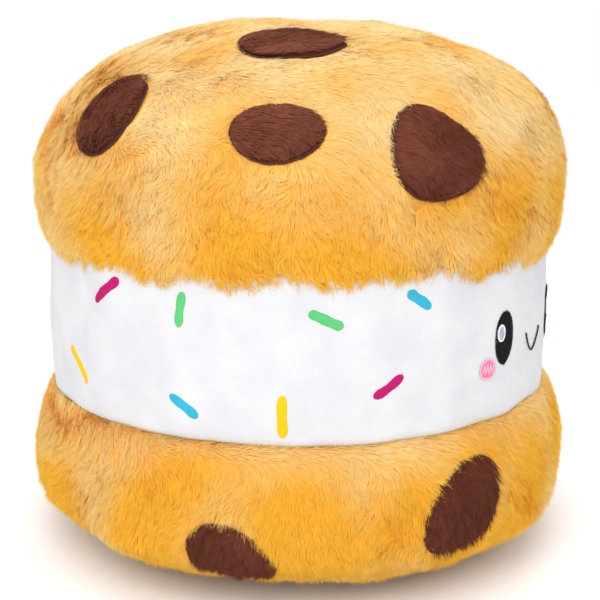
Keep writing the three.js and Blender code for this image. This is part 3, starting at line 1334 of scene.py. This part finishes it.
@dataclass
class Threads:
    """Short straight threads laid on a surface between pairs of flat places."""

    place: PatchPlace
    radius: float
    crown: float
    lift: float
    joints: int = 4
    sides: int = 5

    def build(self, name: str, starts: Array, ends: Array, material: bpy.types.Material) -> bpy.types.Object:
        """Makes the threads.

        Args:
            name: The object's name.
            starts: Flat places where threads begin.
            ends: Flat places where they end.
            material: The thread.

        Returns:
            One mesh of closed thin rods that rise in the middle and dive in at both ends.
        """
        count = len(starts)
        shares = np.linspace(0, 1, self.joints + 1)
        flat = starts[:, None] + (ends - starts)[:, None] * shares[None, :, None]
        arch = self.lift + self.crown * np.sin(math.pi * shares)
        spine = self.place.laid(flat, np.broadcast_to(arch, (count, self.joints + 1)))
        ahead = unit(np.gradient(spine, axis=1))
        azimuth, length = self.place.places(flat.reshape(-1, 2))
        normals = self.place.surface.frame_at(azimuth, length)[1].reshape(count, -1, 3)
        side = unit(np.cross(ahead, normals))
        rise = np.cross(side, ahead)
        girth = self.radius * np.array([0.45] + [1.0] * (self.joints - 1) + [0.45])
        rings = []
        for k in range(self.sides):
            turn = 2 * math.pi * k / self.sides
            rings.append(spine + (side * math.cos(turn) + rise * math.sin(turn)) * girth[None, :, None])
        points = np.stack(rings, axis=2)
        index = np.arange(len(points.reshape(-1, 3))).reshape(count, self.joints + 1, self.sides)
        onward = np.roll(index, -1, axis=2)
        walls = np.stack([index[:, :-1], onward[:, :-1], onward[:, 1:], index[:, 1:]], axis=-1)
        walls = walls.reshape(-1, 4)
        caps = np.concatenate([index[:, 0, ::-1], index[:, -1]])
        obj = mesh_object(name, points.reshape(-1, 3), [walls, caps])
        obj.data.materials.append(material)
        return obj


class SprinkleColour(Enum):
    """The colours that sprinkles are printed in."""

    PINK = "pink"
    GREEN = "green"
    BLUE = "blue"
    YELLOW = "yellow"


class Side(Enum):
    """The sides of the face."""

    LEFT = "left"
    RIGHT = "right"


@dataclass
class Sprinkles:
    """The printed sprinkles of one colour on the band."""

    colour: SprinkleColour
    nodes: list[str]
    surface: StuffedSurface
    widen: float = 1.22
    lift: float = 0.5 * MM
    sunk: float = 0.9 * MM
    wobble: float = 0.06
    edge_power: int = 6
    stations: int = 36
    columns: int = 9

    def build(self, material: bpy.types.Material) -> None:
        """Makes all the sprinkles of the colour as one piece.

        Args:
            material: The print.
        """
        points, faces = [], []
        for number, node in enumerate(self.nodes):
            points.append(self._strip(PatchPlace(node, self.surface), number))
            faces.append(self._faces() + number * len(points[0]))
        name = self.colour.value
        obj = mesh_object(f"sprinkles_{name}", np.concatenate(points), [np.concatenate(faces)])
        obj.data.materials.append(material)
        finish_piece(obj, f"sprinkle_{name}", *self.nodes)

    def _strip(self, place: PatchPlace, number: int) -> Array:
        """Lays one round-ended strip on the band.

        Args:
            place: Where it lies.
            number: Its number, which seeds its wobble.

        Returns:
            Its points, station by station.
        """
        middle = (place.flat.min(axis=0) + place.flat.max(axis=0)) / 2
        flat = place.flat - middle
        _, _, axes = np.linalg.svd(flat, full_matrices=False)
        along, across = axes[0], axes[1]
        half_length = np.abs(flat @ along).max()
        half_width = np.abs(flat @ across).max() * self.widen
        turn = np.linspace(0, math.pi, self.stations)
        station = -np.cos(turn) * half_length
        beyond = np.maximum(np.abs(station) - (half_length - half_width), 0)
        width = np.sqrt(np.maximum(half_width**2 - beyond**2, 0))
        draw = np.random.default_rng(number + len(self.colour.value))
        phase = draw.uniform(0, 2 * math.pi, 2)
        sway = self.wobble * half_width * np.sin(3 * station / half_length + phase[0])
        width = width * (1 + self.wobble * np.sin(7 * station / half_length + phase[1]))
        column = np.linspace(-1, 1, self.columns)
        offset = sway[:, None] + width[:, None] * column[None]
        spots = middle + station[:, None, None] * along + offset[..., None] * across
        lift = self.lift - (self.lift + self.sunk) * column[None] ** self.edge_power * np.ones_like(offset)
        lift[[0, -1]] = -self.sunk
        return place.laid(spots.reshape(-1, 2), lift.ravel())

    def _faces(self) -> Array:
        """Joins neighbouring stations and columns.

        Returns:
            The quads, facing outwards.
        """
        index = np.arange(self.stations * self.columns).reshape(self.stations, self.columns)
        corners = [index[:-1, :-1], index[1:, :-1], index[1:, 1:], index[:-1, 1:]]
        return np.stack(corners, axis=-1).reshape(-1, 4)


@dataclass
class Face:
    """The embroidered face: eyes with glints, cheeks and a smile."""

    surface: StuffedSurface
    pitch: float = 0.55 * MM
    crown: float = 0.3 * MM

    def build(self, looks: Looks) -> None:
        """Makes all the embroidered pieces.

        Args:
            looks: The materials.
        """
        for side in Side:
            eye = PatchPlace(f"eye_{side.value}", self.surface)
            self._fill(eye, "eye_thread", looks.eye_thread, 1.5, 0.25 * MM)
            glint = PatchPlace(f"glint_{side.value}", self.surface)
            self._fill(glint, "glint_thread", looks.glint_core, 1.3, 0.75 * MM)
            self._rim(glint, "glint_thread", looks.glint_thread, 1.6 * MM, 0.85 * MM)
            cheek = PatchPlace(f"cheek_{side.value}", self.surface)
            self._fill(cheek, "cheek_thread", looks.cheek_thread, 0.9, 0.15 * MM)
            self._rim(cheek, "cheek_thread", looks.cheek_light, 1.5 * MM, 0.3 * MM)
            self._scribble(cheek, looks.cheek_light)
        self._smile(looks)

    @staticmethod
    def _oval(place: PatchPlace) -> tuple[Array, Array]:
        """Returns the middle and the half sizes of an oval patch."""
        low, high = place.flat.min(axis=0), place.flat.max(axis=0)
        return (low + high) / 2, (high - low) / 2

    def _fill(
        self, place: PatchPlace, slot: str, material: bpy.types.Material, slant: float, lift: float
    ) -> None:
        """Fills an oval with threads side by side, which stand for its node.

        Args:
            place: Where the oval lies.
            slot: Its material slot.
            material: The thread.
            slant: The angle of the threads from upright, in radians.
            lift: How far they stand off the band.
        """
        middle, half = self._oval(place)
        along = np.array([math.sin(slant), math.cos(slant)])
        across = np.array([math.cos(slant), -math.sin(slant)])
        starts, ends = [], []
        steps = np.linspace(-half.max(), half.max(), 121)
        for offset in np.arange(-half.max(), half.max(), self.pitch):
            spots = across * offset + along * steps[:, None]
            run = np.flatnonzero(np.hypot(*(spots / half).T) < 1)
            if len(run) > 2:
                starts.append(middle + spots[run[0]])
                ends.append(middle + spots[run[-1]])
        rows = Threads(place, self.pitch * 0.62, crown=self.crown, lift=lift, joints=8)
        obj = rows.build(f"{place.node}_stitches", np.array(starts), np.array(ends), material)
        finish_piece(obj, slot, place.node)

    def _rim(
        self, place: PatchPlace, slot: str, material: bpy.types.Material, width: float, lift: float
    ) -> None:
        """Lays short stitches across an oval's edge.

        Args:
            place: Where the oval lies.
            slot: Its material slot.
            material: The thread.
            width: The stitches' length.
            lift: How far they stand off the band.
        """
        middle, half = self._oval(place)
        count = int(2 * math.pi * half.mean() / self.pitch)
        angles = np.linspace(0, 2 * math.pi, count, endpoint=False)
        edge = np.stack([np.cos(angles), np.sin(angles)], axis=-1) * half
        out = unit(edge) * width / 2
        rim = Threads(place, self.pitch * 0.55, crown=self.crown, lift=lift)
        inner, outer = middle + edge - out * 1.4, middle + edge + out * 0.6
        finish_piece(rim.build(f"{place.node}_rim", inner, outer, material), slot)

    def _scribble(self, place: PatchPlace, material: bpy.types.Material) -> None:
        """Runs a light zigzag thread over a cheek.

        Args:
            place: Where the cheek lies.
            material: The thread.
        """
        middle, half = self._oval(place)
        turns = np.linspace(-0.7, 0.7, 8)
        swing = np.where(np.arange(len(turns)) % 2, 0.45, -0.45) * np.sqrt(1 - turns**2)
        path = middle + np.stack([turns * half[0], swing * half[1]], axis=-1)
        line = Threads(place, 0.4 * MM, crown=self.crown, lift=0.6 * MM)
        finish_piece(self._line(line, path, f"{place.node}_scribble", material), "cheek_thread")

    def _smile(self, looks: Looks) -> None:
        """Lays a line of short backstitches along a U.

        Args:
            looks: The materials.
        """
        place = PatchPlace("smile", self.surface)
        middle, half = self._oval(place)
        bends = np.linspace(-1, 1, 17)
        path = middle + np.stack([bends * half[0], (2 * np.abs(bends) ** 1.7 - 1) * half[1]], axis=-1)
        line = Threads(place, 0.6 * MM, crown=self.crown, lift=0.4 * MM)
        stitches = self._line(line, path, "smile_stitches", looks.smile_thread)
        finish_piece(stitches, "smile_thread", "smile")

    @staticmethod
    def _line(line: Threads, path: Array, name: str, material: bpy.types.Material) -> bpy.types.Object:
        """Lays backstitches along a path, each a little longer than its step.

        Args:
            line: The threads.
            path: Flat places along the line.
            name: The object's name.
            material: The thread.

        Returns:
            The stitches.
        """
        over = 0.12 * np.diff(path, axis=0)
        return line.build(name, path[:-1] - over, path[1:] + over, material)


# --- finishes ------------------------------------------------------------------------------------


@dataclass(frozen=True)
class Looks:
    """Every material of the toy."""

    cookie_cloth: bpy.types.Material
    cookie_pile: bpy.types.Material
    chip_cloth: bpy.types.Material
    chip_pile: bpy.types.Material
    chip_thread: bpy.types.Material
    band: bpy.types.Material
    sprinkles: dict[SprinkleColour, bpy.types.Material]
    eye_thread: bpy.types.Material
    glint_thread: bpy.types.Material
    glint_core: bpy.types.Material
    cheek_thread: bpy.types.Material
    cheek_light: bpy.types.Material
    smile_thread: bpy.types.Material

    @staticmethod
    def make() -> Looks:
        """Makes the materials.

        Returns:
            The finished set.
        """
        prints = {
            SprinkleColour.PINK: ((0.46, 0.006, 0.13), (0.4, 0.005, 0.11)),
            SprinkleColour.GREEN: ((0.095, 0.5, 0.16), (0.085, 0.44, 0.14)),
            SprinkleColour.BLUE: ((0.03, 0.37, 0.53), (0.03, 0.32, 0.47)),
            SprinkleColour.YELLOW: ((0.9, 0.5, 0.005), (0.8, 0.43, 0.005)),
        }
        return Looks(
            cookie_cloth=ClothFinish("cookie_backing", (0.93, 0.48, 0.1), (0.9, 0.42, 0.07)).material(),
            cookie_pile=PileFinish(
                "golden_pile",
                root=(0.93, 0.5, 0.09),
                body=(0.91, 0.62, 0.22),
                tip=(0.91, 0.76, 0.43),
                deep_body=(0.92, 0.45, 0.02),
                deep_tip=(0.91, 0.54, 0.07),
            ).material(),
            chip_cloth=ClothFinish(
                "chip_backing", (0.09, 0.027, 0.016), (0.07, 0.02, 0.012), sheen=0.0
            ).material(),
            chip_pile=PileFinish(
                "brown_pile",
                root=(0.08, 0.022, 0.013),
                body=(0.21, 0.06, 0.033),
                tip=(0.28, 0.095, 0.058),
                deep_body=(0.12, 0.032, 0.018),
                deep_tip=(0.16, 0.048, 0.027),
                spread=0.7,
            ).material(),
            chip_thread=ThreadFinish("chip_thread", (0.1, 0.03, 0.019), 0.9).material(),
            band=ClothFinish("white_velour", (0.635, 0.635, 0.65), (0.57, 0.57, 0.6), sheen=0.02).material(),
            sprinkles={
                kind: ClothFinish(f"{kind.value}_print", colour, shade, sheen=0.0).material()
                for kind, (colour, shade) in prints.items()
            },
            eye_thread=ThreadFinish("black_thread", (0.006, 0.004, 0.005), 0.7).material(),
            glint_thread=ThreadFinish("white_thread", (0.8, 0.8, 0.84)).material(),
            glint_core=ThreadFinish("lilac_thread", (0.42, 0.42, 0.52)).material(),
            cheek_thread=ThreadFinish("pink_thread", (0.82, 0.2, 0.36)).material(),
            cheek_light=ThreadFinish("pale_pink_thread", (0.9, 0.45, 0.58)).material(),
            smile_thread=ThreadFinish("dark_thread", (0.03, 0.02, 0.024)).material(),
        )


# --- the studio ----------------------------------------------------------------------------------


@dataclass(frozen=True)
class Studio:
    """A pale floor, soft light and the camera."""

    azimuth: float = math.radians(-60)
    distance: float = 0.9
    height: float = 0.38
    pitch: float = 0.241
    lens: float = 78.7
    sky: float = 1.02
    floor_tone: float = 0.98
    aim: float = 0.18

    def build(self) -> None:
        """Sets up the floor, the lights, the camera and the view's colours."""
        self._floor()
        self._sky()
        self._lamp("key", -8, 34, 1.6, 1.2, 13)
        self._lamp("top", 170, 75, 1.5, 1.6, 7)
        self._camera()
        bpy.context.scene.view_settings.view_transform = "Standard"

    def _floor(self) -> None:
        """Lays a wide near-white floor."""
        bpy.ops.mesh.primitive_plane_add(size=30, location=(0, 0, 0))
        floor = bpy.context.active_object
        floor.name = "floor"
        graph = Graph("floor_paper")
        graph.set(Base_Color=(self.floor_tone,) * 3, Roughness=0.9, Specular_IOR_Level=0.0)
        floor.data.materials.append(graph.material)

    def _sky(self) -> None:
        """Lights everything evenly from all round."""
        world = bpy.data.worlds.new("studio")
        bpy.context.scene.world = world
        world.use_nodes = True
        sky = world.node_tree.nodes["Background"]
        sky.inputs["Color"].default_value = (1.0, 1.0, 1.0, 1.0)
        sky.inputs["Strength"].default_value = self.sky

    def _lamp(self, name: str, swing: float, rise: float, away: float, size: float, power: float) -> None:
        """Hangs a square soft lamp aimed at the toy.

        Args:
            name: The lamp's name.
            swing: Degrees round from the camera, to its right.
            rise: Degrees above the floor.
            away: Distance from the toy.
            size: The lamp's side.
            power: Its power in watts.
        """
        light = bpy.data.lights.new(name, "AREA")
        light.energy = power
        light.size = size
        lamp = bpy.data.objects.new(name, light)
        turn = self.azimuth + math.radians(swing)
        lift = math.radians(rise)
        flat = away * math.cos(lift)
        toy = Vector((0, 0, self.aim))
        place = toy + Vector((flat * math.sin(turn), -flat * math.cos(turn), away * math.sin(lift)))
        lamp.location = place
        lamp.rotation_euler = (toy - place).to_track_quat("-Z", "Y").to_euler()
        bpy.context.scene.collection.objects.link(lamp)

    def _camera(self) -> None:
        """Stands the camera round to the left of the face, a little above the toy."""
        data = bpy.data.cameras.new("camera")
        data.lens = self.lens
        camera = bpy.data.objects.new("camera", data)
        camera.location = (
            self.distance * math.sin(self.azimuth),
            -self.distance * math.cos(self.azimuth),
            self.height,
        )
        camera.rotation_euler = (math.pi / 2 - self.pitch, 0, self.azimuth)
        bpy.context.scene.collection.objects.link(camera)
        bpy.context.scene.camera = camera


# --- the whole toy -------------------------------------------------------------------------------


def nodes_named(prefix: str) -> list[str]:
    """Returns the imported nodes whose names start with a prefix, in order."""
    return sorted(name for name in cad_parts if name.startswith(prefix))


def cookie_outline(lower: Quarter, upper: Quarter) -> Array:
    """Joins two quarters into an outline from the axis below to the axis above.

    Args:
        lower: The quarter below the widest ring.
        upper: The quarter above it.

    Returns:
        Radius and height, one point a row.
    """
    side = np.concatenate([lower.points()[::-1], upper.points()[1:]])
    ends = [np.array([[0.0, side[0, 1]]]), np.array([[0.0, side[-1, 1]]])]
    return np.concatenate([ends[0], side, ends[1]]) if side[-1, 0] > 0 else np.concatenate([ends[0], side])


@dataclass(frozen=True)
class TopShape:
    """The top cookie's sewn shape: a high crown over a lip that turns in to the band."""

    waist_above_band: float = 42 * MM
    lip_radius: float = 162 * MM
    lip_drop: float = 2 * MM
    lip_power: float = 2
    crown_lift: float = 1.6 * MM
    crown_power: float = 2.33
    seam: float = 158 * MM
    seed: int = 11
    dents: tuple[Dent, ...] = (Dent(math.radians(-30), 290 * MM, 16 * MM, 4 * MM),)

    def surface(self, low: Array, high: Array, band_top: float) -> StuffedSurface:
        """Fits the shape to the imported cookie.

        Args:
            low: The lower corner of the cookie's box.
            high: Its upper corner.
            band_top: The height of the band's top.

        Returns:
            The cookie's surface.
        """
        radius, waist = float(high[0]) - PILE_DEPTH, band_top + self.waist_above_band
        lip_z = float(low[2]) - self.lip_drop
        crown_z = float(high[2]) - PILE_DEPTH + self.crown_lift
        outline = cookie_outline(
            Quarter(radius, waist, self.lip_radius, lip_z, self.lip_power, self.lip_power),
            Quarter(radius, waist, 0, crown_z, self.crown_power, self.crown_power),
        )
        return StuffedSurface(outline, COOKIE_SWELL, COOKIE_WAVE, self.dents, self.seed, self.seam)


@dataclass(frozen=True)
class BottomShape:
    """The bottom cookie's sewn shape: a rounded foot, a full side and a shoulder under the band."""

    waist: float = 55 * MM
    foot_radius: float = 42 * MM
    foot_lift: float = 7.5 * MM
    foot_powers: tuple[float, float] = (3.37, 1.63)
    shoulder_radius: float = 165 * MM
    shoulder_drop: float = 6 * MM
    shoulder_power: float = 2
    seed: int = 23
    dents: tuple[Dent, ...] = (
        Dent(math.radians(-148), 113 * MM, 50 * MM, 13 * MM),
        Dent(math.radians(-138), 65 * MM, 55 * MM, -3 * MM),
        Dent(math.radians(-138), 14 * MM, 32 * MM, -6.5 * MM),
        Dent(math.radians(-108), 12 * MM, 42 * MM, -4.5 * MM),
        Dent(math.radians(-8), 15 * MM, 48 * MM, -4.5 * MM),
    )

    def surface(self, high: Array) -> StuffedSurface:
        """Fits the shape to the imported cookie.

        Args:
            high: The upper corner of the cookie's box.

        Returns:
            The cookie's surface.
        """
        radius = float(high[0]) - PILE_DEPTH
        shoulder_z = float(high[2]) - self.shoulder_drop
        power = self.shoulder_power
        outline = cookie_outline(
            Quarter(radius, self.waist, self.foot_radius, self.foot_lift, *self.foot_powers),
            Quarter(radius, self.waist, self.shoulder_radius, shoulder_z, power, power),
        )
        bottom = StuffedSurface(outline, COOKIE_SWELL, COOKIE_WAVE, self.dents, self.seed)
        bottom.seam = bottom.total - self.shoulder_radius
        return bottom


@dataclass(frozen=True)
class BandShape:
    """The band's sewn shape: a drum with a bulging wall, whose ends are tucked into the cookies."""

    tuck_below: float = 5 * MM
    tuck_above: float = 9 * MM
    bulge: float = 2.8 * MM
    swell: float = 0.5 * MM
    swell_wave: float = 60 * MM
    seed: int = 37
    dents: tuple[Dent, ...] = (Dent(math.radians(-140), 152 * MM, 75 * MM, -3.4 * MM),)

    def surface(self, low: Array, high: Array) -> StuffedSurface:
        """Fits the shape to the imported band.

        Args:
            low: The lower corner of the band's box.
            high: Its upper corner.

        Returns:
            The band's surface.
        """
        ends = (float(low[2]) - self.tuck_below, float(high[2]) + self.tuck_above)
        t = np.linspace(-1, 1, 80)
        height = sum(ends) / 2 + (ends[1] - ends[0]) / 2 * t
        wall = np.stack([float(high[0]) - self.bulge * t**2, height], axis=-1)
        outline = np.concatenate([[[0.0, ends[0]]], wall, [[0.0, ends[1]]]])
        return StuffedSurface(outline, self.swell, self.swell_wave, self.dents, self.seed)


def main() -> None:
    """Builds the toy piece by piece and reports each."""
    logging.basicConfig(level=logging.INFO, format="%(name)s %(message)s")
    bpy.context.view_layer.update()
    looks = Looks.make()

    top_low, top_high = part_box("top_cookie")
    band_low, band_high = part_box("ice_cream_band")
    _, bottom_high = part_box("bottom_cookie")

    top = TopShape().surface(top_low, top_high, float(band_high[2]))
    top_chips = nodes_named("top_chip")
    Cookie("top_cookie", top, top_chips, top.seam, top.total, LONG_PILE, SHORT_PILE, seed=41).build(looks)

    bottom = BottomShape().surface(bottom_high)
    Cookie(
        "bottom_cookie",
        bottom,
        nodes_named("bottom_chip"),
        0.0,
        bottom.seam,
        replace(LONG_PILE, depth=BOTTOM_DEPTH),
        replace(SHORT_PILE, depth=BOTTOM_DEPTH),
        seed=67,
        thin_below=FOOT_LENGTH,
    ).build(looks)

    band = BandShape().surface(band_low, band_high)
    edge = float(band.outline[1, 0])
    seams = (edge, band.total - edge)
    body = StuffedBody(
        "band_cloth", "ice_cream_band", "ice_cream_plush", band, BAND_FILL, seams, seams, rings=140, finer=2
    )
    body.build(looks.band)
    for colour, material in looks.sprinkles.items():
        Sprinkles(colour, nodes_named(f"sprinkle_{colour.value}"), band).build(material)
    Face(band).build(looks)
    Studio().build()


if __name__ == "__main__":
    main()
